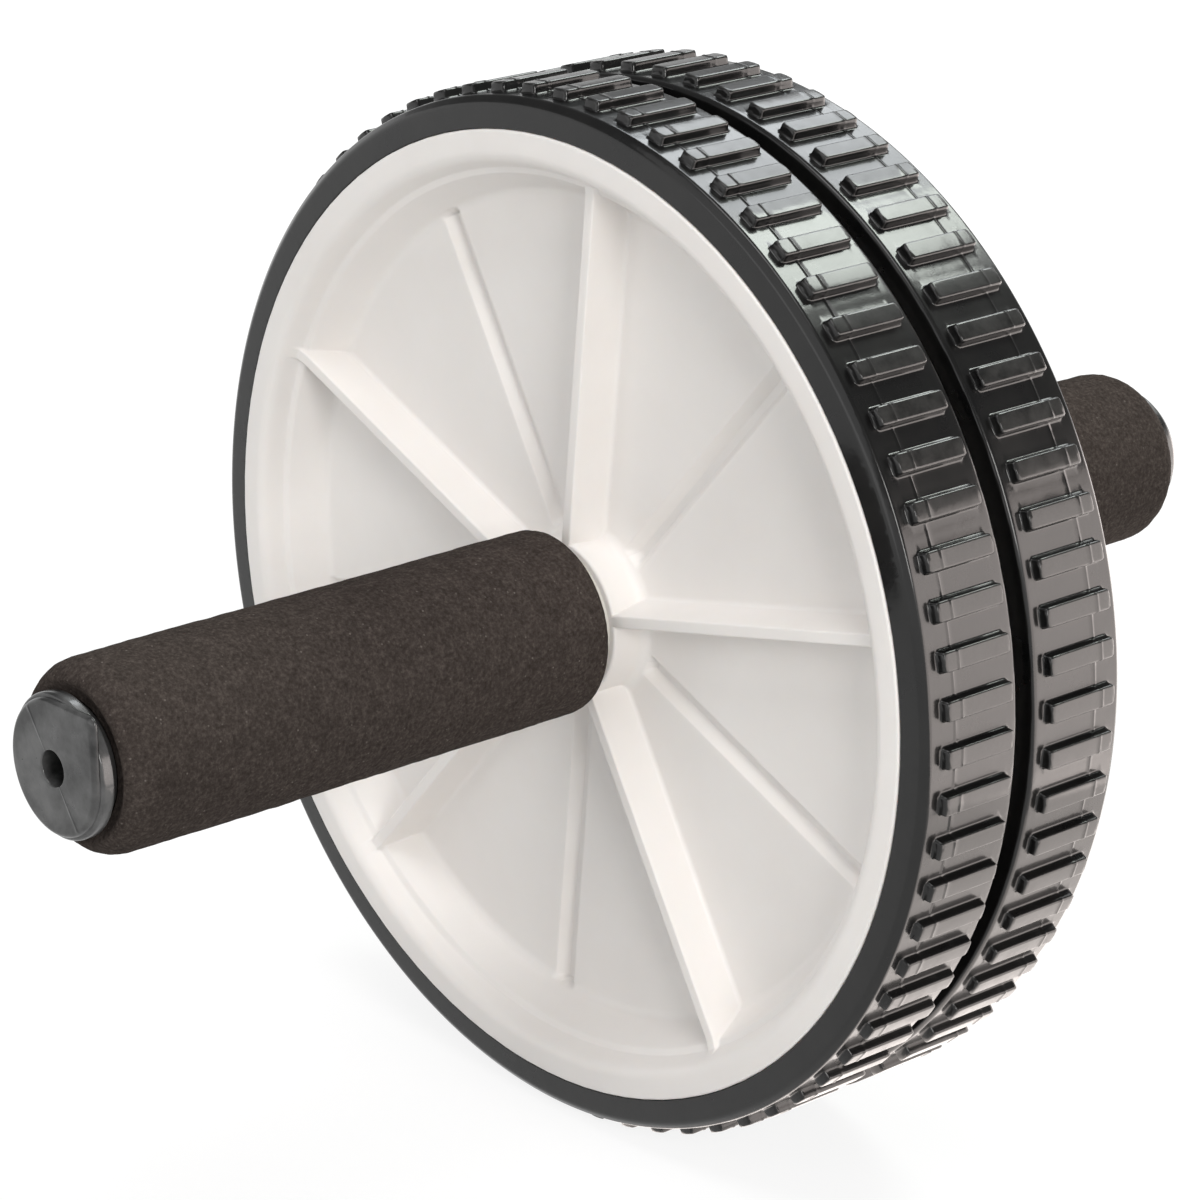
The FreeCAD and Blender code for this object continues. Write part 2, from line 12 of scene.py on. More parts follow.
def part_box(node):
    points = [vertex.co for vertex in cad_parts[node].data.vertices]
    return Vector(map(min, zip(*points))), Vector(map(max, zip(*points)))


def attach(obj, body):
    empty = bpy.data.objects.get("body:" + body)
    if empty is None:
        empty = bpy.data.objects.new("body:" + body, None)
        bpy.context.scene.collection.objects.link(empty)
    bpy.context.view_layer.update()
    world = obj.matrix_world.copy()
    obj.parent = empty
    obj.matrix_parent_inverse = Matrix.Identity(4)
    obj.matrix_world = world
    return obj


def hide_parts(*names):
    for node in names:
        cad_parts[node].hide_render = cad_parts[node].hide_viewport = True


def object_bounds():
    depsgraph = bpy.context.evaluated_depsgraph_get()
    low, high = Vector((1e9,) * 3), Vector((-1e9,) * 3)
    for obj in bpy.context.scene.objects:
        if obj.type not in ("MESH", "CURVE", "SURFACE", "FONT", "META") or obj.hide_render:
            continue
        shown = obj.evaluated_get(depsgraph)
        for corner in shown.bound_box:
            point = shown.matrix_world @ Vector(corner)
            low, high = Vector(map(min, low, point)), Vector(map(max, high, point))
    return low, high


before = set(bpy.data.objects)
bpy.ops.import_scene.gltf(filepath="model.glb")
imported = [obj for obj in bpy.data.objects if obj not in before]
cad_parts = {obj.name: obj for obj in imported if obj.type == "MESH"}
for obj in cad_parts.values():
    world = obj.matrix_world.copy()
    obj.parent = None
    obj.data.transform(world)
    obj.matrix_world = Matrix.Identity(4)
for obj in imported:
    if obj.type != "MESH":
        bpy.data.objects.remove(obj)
cad_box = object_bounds()

MM = 0.001
SIDES = ("right", "left")
ARC_STEP = math.radians(15)
TINY = 1e-6

# Turn of each moulded piece about the axle, in degrees
WHEEL_TURN = {"right": -23.75, "left": 10.0}
TYRE_TURN = {"right": 0.4, "left": -1.5}
CAP_TURN = {"right": -90.0, "left": 180.0}

# Wheel moulding: radii of its section, and depths behind its front face
HUB_BORE_RADIUS = 9.05
HUB_RADIUS = 13.7
HUB_DRAFT = 0.25
RIM_RADIUS = 82.7
LIP_RADIUS = 77.7
LEDGE_RADIUS = 76.0
WALL_RADIUS = 74.9
WALL_FOOT_RADIUS = 71.3
BACK_LIP_RADIUS = 79.2
BACK_FOOT_RADIUS = 76.2
LEDGE_DEPTH = 3.6
LEDGE_SLOPE = 0.5
WEB_DEPTH = 10.2
WEB_THICKNESS = 2.5
HUB_BACK_INSET = 0.35
SEAT_RIDGE = 1.2
SEAT_RIDGE_HALF = 2.5
SEAT_RIDGE_SLOPE = 0.5

# Roundings of the wheel's section, the straight run at its ends, and the spacing of its points
BORE_ROUND = 0.4
HUB_ROUND = 0.5
WEB_ROUND = 2.0
WALL_ROUND = 0.8
LEDGE_ROUND = 0.6
LIP_ROUND = 2.4
RIM_FRONT_ROUND = 0.4
RIM_BACK_ROUND = 0.5
WHEEL_END_RUN = 2
WHEEL_FRONT_SPACING = 0.8
WHEEL_BACK_SPACING = 2.5

# Ribs on the web's front, the grooves between them and the ribs behind the grooves
RIB_COUNT = 5
RIB_DEPTH = 3.2
RIB_TOP_HALF = 1.0
RIB_FOOT_HALF = 2.3
RIB_TOP_ROUND = 0.35
RIB_FOOT_ROUND = 0.9
RIB_SKIRT = 1.2
RIB_SPACING = 1.2
GROOVE_FLOOR_HALF = 0.7
GROOVE_TOP_HALF = 2.3
GROOVE_DEPTH = 1.9
GROOVE_START = 15.4
GROOVE_FLOOR_ROUND = 0.3
GROOVE_TOP_ROUND = 0.4
GROOVE_SKIRT = 0.7
GROOVE_SPACING = 0.7
BACK_RIB_INSET = 3.4
WEB_COLUMNS = 8

# Where the ribs keep their width, meet the hub's side and blend into the rim's wall
EVEN_RIB_RADIUS = HUB_RADIUS + 1
HUB_SIDE_RADIUS = HUB_RADIUS - 0.6
MID_WEB_RADIUS = 0.7 * WALL_FOOT_RADIUS
RIB_BLEND_RISE = 2
RIB_BLEND_POWER = 10

# Tyre ring
TYRE_BORE_RADIUS = 82.75
TREAD_RADIUS = 88.2
SIDEWALL_CROWN = 1.2
SHOULDER_INSET = 1.2
SHOULDER_RISE = 0.95
SHOULDER_ROUND = 1.6
BEAD_ROUND = 0.25
BEAD_RUN = 4
TREAD_EDGE_ROUND = 0.75
TREAD_EDGE_RUN = 0.4
TREAD_EDGE_STATION = 0.9
TYRE_BACK_ROUND = 0.9
TYRE_BACK_BEAD_ROUND = 0.3
TYRE_BACK_RUN = 1.5
SIDEWALL_SPACING = 1.4
TYRE_BACK_SPACING = 3

# Lugs, with the side of a lug as distance inside its outline against height, and the seam across them
LUG_COUNT = 72
LUG_HALF_WIDTH = 1.75
LUG_INNER_MARGIN = 2.35
LUG_OUTER_MARGIN = 2.2
LUG_CORNER = 0.8
LUG_SIDE = ((-0.4, 0.0), (-0.14, 0.06), (0.0, 0.32), (0.06, 0.9), (0.12, 1.35), (0.2, 1.54), (0.34, 1.66),
            (0.55, 1.7))
LUG_ROWS = 9
LUG_ROW_MARGIN = 1
CLEAR_OF_LUGS = 10.0
SCUFF_START = 1.3
SCUFF_FULL = 1.65
SEAM_FROM_LUG_END = 3.2
SEAM_HALF = 0.14
SEAM_HEIGHT = 0.1

# Foam grip
FOAM_RADIUS = 15.9
FOAM_BORE_RADIUS = 10.05
FOAM_OUTER_ROUND = 5.5
FOAM_INNER_ROUND = 2.0
FOAM_DIP_RADIUS = 13.0
FOAM_DIP_DEPTH = 1.6
FOAM_SPACING = 0.42
FOAM_COLUMNS = 360

# Unevenness of the foam's skin, in cells of the grid and millimetres; it fades out towards the bore
FOAM_SEED = {"right": 10, "left": 20}
FOAM_WAVE_CELL, FOAM_WAVE_HEIGHT = 30, 0.10
FOAM_GRAIN_CELL, FOAM_GRAIN_HEIGHT = 3.0, 0.05
FOAM_PIT_CELL, FOAM_PIT_DEPTH, FOAM_PIT_START = 3.5, 0.12, 0.75
FOAM_SKIN_INSET = 0.1
FOAM_FADE_START = 0.5
FOAM_FADE_LENGTH = 1.5
NOISE_FALL = 6

# End cap
CAP_HOLE_RADIUS = 2.9
CAP_PLATE_RADIUS = 11.1
CAP_FLANGE_RADIUS = 11.8
CAP_FLANGE_THICKNESS = 2.3
CAP_FLANGE_LAND = 0.62
CAP_PLUG_RADIUS = 7.45
CAP_PLUG_LENGTH = 10.0
CAP_HOLE_LAND = 0.3
CAP_CORNER_ROUND = 1.4
CAP_HOLE_ROUND = 0.3
CAP_FACE_ROUND = 0.85
CAP_FLANGE_FRONT_ROUND = 0.6
CAP_FLANGE_BACK_ROUND = 0.3
CAP_PLUG_FOOT_ROUND = 0.1
CAP_PLUG_END_ROUND = 0.4
CAP_OUTLINE_SPACING = 1.0
CAP_FACE_SPACING = 0.9
CAP_FLANGE_SPACING = 1.2
CAP_CIRCLE_POINTS = 110

# The cap's square corner grows over the outer part of its face
CORNER_START = 0.55
CORNER_SPAN = 0.45

# Moulding line across the cap's face, its angles in degrees
CAP_LINE_ANGLE = 145.0
CAP_LINE_HALF = 1.0
CAP_LINE_STEPS = (-1.4, -0.6, 0, 0.6, 1.4)
CAP_LINE_CLEAR = 2.2
CAP_LINE_HEIGHT = 0.06
CAP_FACE_MARGIN = 0.05

# Floor and low backdrop, in metres, and the paint's share of plain white from near the object to far off
BACKDROP_RADIUS = 3.0
BACKDROP_HEIGHT = 0.9
BACKDROP_BEND = 0.8
BACKDROP_SPACING = 0.5
BACKDROP_STEPS = 128
FLOOR_GREY = (0.65, 0.65, 0.65, 1)
FLOOR_GLOW = 1.22
FLOOR_NEAR, FLOOR_FAR = 0.3, 1.2
FLOOR_NEAR_SHARE, FLOOR_FAR_SHARE = 0.7, 1.0

# Light and camera, in metres, degrees and pixels of the photograph
SURROUND_STRENGTH = 0.25
AXLE_MIDDLE = (0, 0, 0)
FLOOR_CARD_GAP = 0.0015
CAMERA_AZIMUTH = 48.48
CAMERA_ELEVATION = 19.523
CAMERA_PLACE = (0.52978, -0.47949, 0.25197)
FOCAL_PIXELS = 4463.8
FRAME_PIXELS = 1200
SENSOR_WIDTH = 36.0


def extent(node):
    """Inboard and outboard end of a left-hand node along the axle, in millimetres."""
    low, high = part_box(node)
    return low.y / MM, high.y / MM


def arc(before, corner, after, radius):
    """Points of the round that takes the place of a corner between two other points."""
    before = before - corner
    after = after - corner
    before /= np.linalg.norm(before)
    after /= np.linalg.norm(after)
    half = math.acos(np.clip(before @ after, -1, 1)) / 2
    reach = radius / math.tan(half)
    middle = (before + after) / np.linalg.norm(before + after)
    centre = corner + middle * radius / math.sin(half)
    start = corner + before * reach - centre
    turn = math.pi - 2 * half
    sign = np.sign(before[1] * after[0] - before[0] * after[1])
    steps = max(2, math.ceil(turn / ARC_STEP))
    points = []
    for step in range(steps + 1):
        angle = sign * turn * step / steps
        cosine, sine = math.cos(angle), math.sin(angle)
        points.append(centre + (start[0] * cosine - start[1] * sine, start[0] * sine + start[1] * cosine))
    return points


def rounded(corners, spacing):
    """Points along an outline of (across, along, radius) corners, each rounded to its radius but the ends."""
    points = [np.array(corner[:2], float) for corner in corners]
    path = [points[0]]
    for index in range(1, len(points)):
        radius = corners[index][2]
        bend = arc(*points[index - 1:index + 2], radius) if radius else [points[index]]
        last = path[-1]
        gap = bend[0] - last
        parts = max(1, math.ceil(np.linalg.norm(gap) / spacing))
        path += [last + gap * part / parts for part in range(1, parts)]
        path += bend
    return np.array(path)


def placed(points, side, turn):
    """Points drawn with +Y outboard, turned about the axle and moved to their side, in metres."""
    facing = Matrix.Rotation(math.pi if side == "right" else 0, 3, "Z")
    matrix = np.array(facing @ Matrix.Rotation(math.radians(turn), 3, "Y"))
    return points @ matrix.T * MM


def grid_piece(name, points, material):
    """Smooth closed mesh from a grid of points (rows, columns, 3) that closes both ways."""
    rows, columns = points.shape[:2]
    index = np.arange(rows * columns).reshape(rows, columns)
    right = np.roll(index, -1, axis=1)
    below = np.roll(index, -1, axis=0)
    across = np.roll(below, -1, axis=1)
    faces = np.stack([index, right, across, below], axis=-1).reshape(-1, 4)
    mesh = bpy.data.meshes.new(name)
    mesh.from_pydata(points.reshape(-1, 3), [], faces.tolist())
    mesh.validate()
    mesh.shade_smooth()
    mesh.materials.append(material)
    piece = bpy.data.objects.new(name, mesh)
    bpy.context.scene.collection.objects.link(piece)
    normals = piece.modifiers.new("even_normals", "WEIGHTED_NORMAL")
    normals.keep_sharp = False
    return piece


def polar(radius, angle, along):
    """Grid of points from radius, angle and distance along the axle."""
    return np.stack([radius * np.cos(angle), along, radius * np.sin(angle)], axis=-1)


def wheel_rows(width):
    """Section of the wheel as (radius, height) rows, and where its front rows end and its back rows start."""
    web_front = width - WEB_DEPTH
    web_back = web_front - WEB_THICKNESS
    rib_front = width - RIB_DEPTH
    ledge = width - LEDGE_DEPTH
    front = rounded([
        (HUB_BORE_RADIUS, rib_front - WHEEL_END_RUN, 0),
        (HUB_BORE_RADIUS, rib_front, BORE_ROUND),
        (HUB_RADIUS, rib_front, HUB_ROUND),
        (HUB_RADIUS + HUB_DRAFT, web_front, WEB_ROUND),
        (WALL_FOOT_RADIUS, web_front, WEB_ROUND),
        (WALL_RADIUS, ledge - LEDGE_SLOPE, WALL_ROUND),
        (LEDGE_RADIUS, ledge, LEDGE_ROUND),
        (LIP_RADIUS, width, LIP_ROUND),
        (RIM_RADIUS, width, RIM_FRONT_ROUND),
        (RIM_RADIUS, width - WHEEL_END_RUN, 0),
    ], WHEEL_FRONT_SPACING)
    middle = width / 2
    seat = np.array([
        (RIM_RADIUS, middle + SEAT_RIDGE_HALF + SEAT_RIDGE_SLOPE),
        (RIM_RADIUS + SEAT_RIDGE, middle + SEAT_RIDGE_HALF),
        (RIM_RADIUS + SEAT_RIDGE, middle - SEAT_RIDGE_HALF),
        (RIM_RADIUS, middle - SEAT_RIDGE_HALF - SEAT_RIDGE_SLOPE),
    ])
    back = rounded([
        (RIM_RADIUS, WHEEL_END_RUN, 0),
        (RIM_RADIUS, 0, RIM_BACK_ROUND),
        (BACK_LIP_RADIUS, 0, RIM_BACK_ROUND),
        (BACK_FOOT_RADIUS, web_back, WEB_ROUND),
        (HUB_RADIUS + HUB_DRAFT, web_back, WEB_ROUND),
        (HUB_RADIUS, HUB_BACK_INSET, HUB_ROUND),
        (HUB_BORE_RADIUS, HUB_BACK_INSET, BORE_ROUND),
        (HUB_BORE_RADIUS, WHEEL_END_RUN, 0),
    ], WHEEL_BACK_SPACING)
    return np.vstack([front, seat, back]), len(front), len(front) + len(seat)


def wheel_points(width):
    """Grid of one wheel: ribs stand on the front of the web, grooves run between them, ribs behind those."""
    rows, front_end, back_start = wheel_rows(width)
    web_front = width - WEB_DEPTH
    rib_front = width - RIB_DEPTH
    groove_floor = web_front - GROOVE_DEPTH
    rib = rounded([
        (0, rib_front, 0),
        (RIB_TOP_HALF, rib_front, RIB_TOP_ROUND),
        (RIB_FOOT_HALF, web_front, RIB_FOOT_ROUND),
        (RIB_FOOT_HALF + RIB_SKIRT, web_front, 0),
    ], RIB_SPACING)
    groove = rounded([
        (0, groove_floor, 0),
        (GROOVE_FLOOR_HALF, groove_floor, GROOVE_FLOOR_ROUND),
        (GROOVE_TOP_HALF, web_front, GROOVE_TOP_ROUND),
        (GROOVE_TOP_HALF + GROOVE_SKIRT, web_front, 0),
    ], GROOVE_SPACING)

    # Columns of half a sector, from the middle of a rib to the middle of a groove
    radius = rows[:, :1]
    reach = np.maximum(radius, EVEN_RIB_RADIUS)
    rib_angle = np.arcsin(rib[:, 0] / reach)
    groove_angle = math.pi / RIB_COUNT - np.arcsin(groove[::-1, 0] / reach)
    between = np.linspace(0, 1, WEB_COLUMNS + 2)[1:-1]
    web_angle = rib_angle[:, -1:] + (groove_angle[:, :1] - rib_angle[:, -1:]) * between
    angle = np.hstack([rib_angle, web_angle, groove_angle])

    height = np.repeat(rows[:, 1:], angle.shape[1], axis=1)
    rib_height = np.full(angle.shape[1], web_front)
    rib_height[:len(rib)] = rib[:, 1]
    groove_height = np.full(angle.shape[1], web_front)
    groove_height[-len(groove):] = groove[::-1, 1]
    in_groove = groove_height < web_front - TINY

    # Front: ribs raised from the hub to the wall, where they blend in, and grooves cut into the web
    front = np.zeros(len(rows), bool)
    front[:front_end] = True
    on_wall = front & (rows[:, 0] > MID_WEB_RADIUS) & (rows[:, 1] < rib_front + RIB_BLEND_RISE)
    at_hub = front & (rows[:, 0] > HUB_SIDE_RADIUS) & (rows[:, 0] <= MID_WEB_RADIUS)
    wall_rise = np.maximum(height[on_wall] - web_front, 0) ** RIB_BLEND_POWER
    rise = wall_rise + (rib_height - web_front) ** RIB_BLEND_POWER
    height[on_wall] = web_front + rise ** (1 / RIB_BLEND_POWER)
    height[at_hub] = np.maximum(height[at_hub], rib_height)
    cut = front & (rows[:, 0] > GROOVE_START) & (rows[:, 0] < WALL_FOOT_RADIUS)
    height[np.ix_(cut, in_groove)] = np.minimum(height[np.ix_(cut, in_groove)], groove_height[in_groove])

    # Back: a rib behind each groove
    back_columns = np.zeros(angle.shape[1], bool)
    back_columns[-len(groove):] = groove[::-1, 0] <= GROOVE_TOP_HALF
    behind = (np.arange(len(rows)) >= back_start) & (rows[:, 0] > HUB_SIDE_RADIUS)
    behind &= (rows[:, 0] < BACK_LIP_RADIUS)
    rib_back = height[np.ix_(behind, back_columns)]
    height[np.ix_(behind, back_columns)] = np.minimum(rib_back, BACK_RIB_INSET)

    # Each half sector is mirrored into a whole one, which is repeated round the wheel
    sector_angle = 2 * math.pi / RIB_COUNT
    angles = np.hstack([angle, sector_angle - angle[:, -2:0:-1]])
    heights = np.hstack([height, height[:, -2:0:-1]])
    all_angles = np.hstack([angles + sector_angle * sector for sector in range(RIB_COUNT)])
    all_heights = np.tile(heights, RIB_COUNT)
    return polar(np.repeat(radius, all_angles.shape[1], axis=1), all_angles, all_heights)


def lug_rise(across, along, half_length):
    """Height of a lug over the tread, from the distance inside its rounded outline."""
    over_x = np.abs(across) - LUG_HALF_WIDTH + LUG_CORNER
    over_y = np.abs(along) - half_length + LUG_CORNER
    outside = np.hypot(np.maximum(over_x, 0), np.maximum(over_y, 0))
    inside = np.minimum(np.maximum(over_x, over_y), 0)
    depth = LUG_CORNER - outside - inside
    offsets, heights = zip(*LUG_SIDE)
    return np.interp(depth, offsets, heights)


def tyre_points(width):
    """Grid of one tyre: ring with a crowned sidewall, a row of lugs and a mould seam round the tread."""
    tread_edge = width - SIDEWALL_CROWN
    lug_start = LUG_INNER_MARGIN
    lug_end = tread_edge - LUG_OUTER_MARGIN
    half_length = (lug_end - lug_start) / 2
    lug_middle = (lug_start + lug_end) / 2
    seam = lug_end - SEAM_FROM_LUG_END
    side_steps = np.array([offset for offset, _ in LUG_SIDE])

    stations = np.concatenate([
        lug_start + side_steps,
        lug_end - side_steps,
        np.linspace(lug_start + LUG_ROW_MARGIN, lug_end - LUG_ROW_MARGIN, LUG_ROWS),
        [seam - 2 * SEAM_HALF, seam - SEAM_HALF, seam + SEAM_HALF, seam + 2 * SEAM_HALF],
        [tread_edge - TREAD_EDGE_STATION],
    ])
    tread = np.stack([np.full(len(stations), TREAD_RADIUS), np.sort(stations)[::-1]], axis=-1)
    outboard = rounded([
        (TYRE_BORE_RADIUS, width - BEAD_RUN, 0),
        (TYRE_BORE_RADIUS, width, BEAD_ROUND),
        (TREAD_RADIUS - SHOULDER_INSET, tread_edge + SHOULDER_RISE, SHOULDER_ROUND),
        (TREAD_RADIUS, tread_edge, TREAD_EDGE_ROUND),
        (TREAD_RADIUS, tread_edge - TREAD_EDGE_RUN, 0),
    ], SIDEWALL_SPACING)
    inboard = rounded([
        (TREAD_RADIUS, TYRE_BACK_RUN, 0),
        (TREAD_RADIUS, 0, TYRE_BACK_ROUND),
        (TYRE_BORE_RADIUS, 0, TYRE_BACK_BEAD_ROUND),
        (TYRE_BORE_RADIUS, BEAD_RUN, 0),
    ], TYRE_BACK_SPACING)
    rows = np.vstack([outboard, tread, inboard])

    # Columns of one lug and the gap after it, repeated round the tyre
    pitch = 2 * math.pi / LUG_COUNT
    edge = LUG_HALF_WIDTH - side_steps[::-1]
    across = np.concatenate([-edge[::-1], [0.0], edge])
    lug_angles = np.arcsin(across / TREAD_RADIUS)
    gap_start, gap_end = lug_angles[-1], pitch + lug_angles[0]
    gap_angles = gap_start + (gap_end - gap_start) * np.array([1 / 3, 2 / 3])
    one = np.concatenate([lug_angles, gap_angles])
    offsets = np.concatenate([across, np.full(len(gap_angles), CLEAR_OF_LUGS)])
    angle = np.concatenate([one + pitch * lug for lug in range(LUG_COUNT)])
    offset = np.tile(offsets, LUG_COUNT)

    radius = np.repeat(rows[:, :1], len(angle), axis=1)
    on_tread = slice(len(outboard), len(outboard) + len(tread))
    rise = lug_rise(offset[None, :], tread[:, 1:] - lug_middle, half_length)
    near_seam = np.clip(2 - np.abs(tread[:, 1:] - seam) / SEAM_HALF, 0, 1)
    radius[on_tread] += rise + SEAM_HEIGHT * near_seam
    height = np.repeat(rows[:, 1:], len(angle), axis=1)
    return polar(radius, np.repeat(angle[None, :], len(rows), axis=0), height)


def smooth_noise(shape, cell, seed):
    """Periodic random field with features of about a cell, from -1 to 1 or so."""
    random = np.random.default_rng(seed).standard_normal(shape)
    rows = np.fft.fftfreq(shape[0])[:, None] * cell
    columns = np.fft.fftfreq(shape[1])[None, :] * cell
    kernel = np.exp(-(rows ** 2 + columns ** 2) * NOISE_FALL)
    field = np.fft.ifft2(np.fft.fft2(random) * kernel).real
    return field / (2 * field.std())


def foam_points(length, seed):
    """Grid of one foam sleeve, its skin uneven and pitted, its free end drawn in round the cap."""
    outline = rounded([
        (FOAM_BORE_RADIUS, length, 0),
        (FOAM_RADIUS, length, FOAM_OUTER_ROUND),
        (FOAM_RADIUS, 0, FOAM_INNER_ROUND),
        (FOAM_BORE_RADIUS, 0, 0),
    ], FOAM_SPACING)
    dipped = (outline[:, 0] < FOAM_DIP_RADIUS) & (outline[:, 1] > length / 2)
    outline[dipped, 1] = np.minimum(outline[dipped, 1], length - FOAM_DIP_DEPTH)
    angle = np.linspace(0, 2 * math.pi, FOAM_COLUMNS, endpoint=False)
    radius = np.repeat(outline[:, :1], FOAM_COLUMNS, axis=1)
    height = np.repeat(outline[:, 1:], FOAM_COLUMNS, axis=1)
    shape = radius.shape
    skin = np.clip((radius - FOAM_BORE_RADIUS - FOAM_FADE_START) / FOAM_FADE_LENGTH, 0, 1)
    waves = FOAM_WAVE_HEIGHT * smooth_noise(shape, FOAM_WAVE_CELL, seed)
    grain = FOAM_GRAIN_HEIGHT * smooth_noise(shape, FOAM_GRAIN_CELL, seed + 1)
    pits = -FOAM_PIT_DEPTH * np.clip(smooth_noise(shape, FOAM_PIT_CELL, seed + 2) - FOAM_PIT_START, 0, 1)
    radius = radius + skin * (waves + grain + pits - FOAM_SKIN_INSET)
    return polar(radius, np.repeat(angle[None, :], shape[0], axis=0), height)


def cap_outline():
    """Angle and radius of points round the cap's front plate: a circle with one square corner."""
    corner = rounded([
        (CAP_PLATE_RADIUS, 0, 0),
        (CAP_PLATE_RADIUS, CAP_PLATE_RADIUS, CAP_CORNER_ROUND),
        (0, CAP_PLATE_RADIUS, 0),
    ], CAP_OUTLINE_SPACING)
    circle_angles = np.linspace(math.pi / 2, 2 * math.pi, CAP_CIRCLE_POINTS)[1:-1]
    line = math.radians(CAP_LINE_ANGLE)
    line_steps = np.radians(CAP_LINE_STEPS)
    for middle in (line, line + math.pi):
        circle_angles = circle_angles[np.abs(circle_angles - middle) > math.radians(CAP_LINE_CLEAR)]
        circle_angles = np.concatenate([circle_angles, middle + line_steps])
    circle_angles.sort()
    angle = np.concatenate([np.arctan2(corner[:, 1], corner[:, 0]), circle_angles])
    circle = np.full(len(circle_angles), CAP_PLATE_RADIUS)
    radius = np.concatenate([np.hypot(corner[:, 0], corner[:, 1]), circle])
    return angle, radius


def cap_points(length):
    """Grid of one end cap: plug, flange and front plate, with a fine moulding line across the plate."""
    angle, plate = cap_outline()
    flange_front = CAP_PLUG_LENGTH + CAP_FLANGE_THICKNESS
    face = length - CAP_LINE_HEIGHT
    base = rounded([
        (CAP_HOLE_RADIUS, 0, 0),
        (CAP_HOLE_RADIUS, face, CAP_HOLE_ROUND),
        (CAP_PLATE_RADIUS, face, CAP_FACE_ROUND),
        (CAP_PLATE_RADIUS, flange_front, 0),
    ], CAP_FACE_SPACING)
    rim = rounded([
        (CAP_FLANGE_RADIUS - CAP_FLANGE_LAND, flange_front, 0),
        (CAP_FLANGE_RADIUS, flange_front, CAP_FLANGE_FRONT_ROUND),
        (CAP_FLANGE_RADIUS, CAP_PLUG_LENGTH, CAP_FLANGE_BACK_ROUND),
        (CAP_PLUG_RADIUS, CAP_PLUG_LENGTH, CAP_PLUG_FOOT_ROUND),
        (CAP_PLUG_RADIUS, 0, CAP_PLUG_END_ROUND),
        (CAP_HOLE_RADIUS + CAP_HOLE_LAND, 0, 0),
    ], CAP_FLANGE_SPACING)
    stretch = np.clip((base[:, :1] - CAP_HOLE_RADIUS) / (CAP_PLATE_RADIUS - CAP_HOLE_RADIUS), 0, 1)
    near_edge = np.clip((stretch - CORNER_START) / CORNER_SPAN, 0, 1)
    face_radius = base[:, :1] + near_edge * (plate - CAP_PLATE_RADIUS)[None, :]
    rim_radius = np.repeat(rim[:, :1], len(angle), axis=1)
    radius = np.vstack([face_radius, rim_radius])
    height = np.repeat(np.concatenate([base[:, 1], rim[:, 1]])[:, None], len(angle), axis=1)
    line = math.radians(CAP_LINE_ANGLE)
    off_line = np.abs((angle - line + math.pi / 2) % math.pi - math.pi / 2)
    on_face = (height > face - CAP_FACE_MARGIN) & (off_line < math.radians(CAP_LINE_HALF))[None, :]
    height = height + CAP_LINE_HEIGHT * on_face
    return polar(radius, np.repeat(angle[None, :], len(radius), axis=0), height)


def new_material(name, **settings):
    """Material with the given values on its Principled shader, with its node tree and that shader."""
    material = bpy.data.materials.new(name)
    material.use_nodes = True
    tree = material.node_tree
    shader = tree.nodes["Principled BSDF"]
    for socket, setting in settings.items():
        shader.inputs[socket.replace("_", " ")].default_value = setting
    return material, tree, shader


def add_node(tree, kind, inputs=None, **settings):
    """Node of a kind with its settings, each input set to a value or linked to another node's socket."""
    node = tree.nodes.new(kind)
    for name, setting in settings.items():
        setattr(node, name, setting)
    for name, source in (inputs or {}).items():
        if isinstance(source, bpy.types.NodeSocket):
            tree.links.new(source, node.inputs[name])
        else:
            node.inputs[name].default_value = source
    return node


def noise(tree, place, scale, detail=3.0, roughness=0.55):
    """Factor of a noise texture over the object's own coordinates."""
    made = add_node(tree, "ShaderNodeTexNoise", {"Vector": place, "Scale": scale, "Detail": detail,
                                                 "Roughness": roughness})
    return made.outputs["Fac"]


def ramp(tree, factor, stops):
    """Colour ramp through (position, colour) stops."""
    made = add_node(tree, "ShaderNodeValToRGB", {"Fac": factor})
    band = made.color_ramp
    while len(band.elements) < len(stops):
        band.elements.new(0.5)
    for element, (position, colour) in zip(band.elements, stops):
        element.position = position
        element.color = (*colour, 1)
    return made.outputs["Color"]


def spread(tree, factor, low, high, start=0.3, end=0.7):
    """Factor from start to end, spread over low to high."""
    made = add_node(tree, "ShaderNodeMapRange", {"Value": factor, "From Min": start, "From Max": end,
                                                 "To Min": low, "To Max": high})
    return made.outputs["Result"]


def bump(tree, height, strength, distance, normal=None):
    """Normal from a height, laid over an earlier normal if there is one."""
    inputs = {"Height": height, "Strength": strength, "Distance": distance}
    if normal is not None:
        inputs["Normal"] = normal
    return add_node(tree, "ShaderNodeBump", inputs).outputs["Normal"]


def combine(tree, operation, first, second):
    """Result of a math operation on two factors."""
    made = add_node(tree, "ShaderNodeMath", {0: first, 1: second}, operation=operation)
    return made.outputs["Value"]


def scaled(tree, vector, factors):
    """Colour or place multiplied, part by part, by factors."""
    made = add_node(tree, "ShaderNodeVectorMath", {0: vector, 1: factors}, operation="MULTIPLY")
    return made.outputs["Vector"]


def length_of(tree, vector):
    """Distance of a place from its origin."""
    made = add_node(tree, "ShaderNodeVectorMath", {0: vector}, operation="LENGTH")
    return made.outputs["Value"]


def object_place(tree):
    """Place on the piece in its own coordinates, which turn with it."""
    return add_node(tree, "ShaderNodeTexCoord").outputs["Object"]


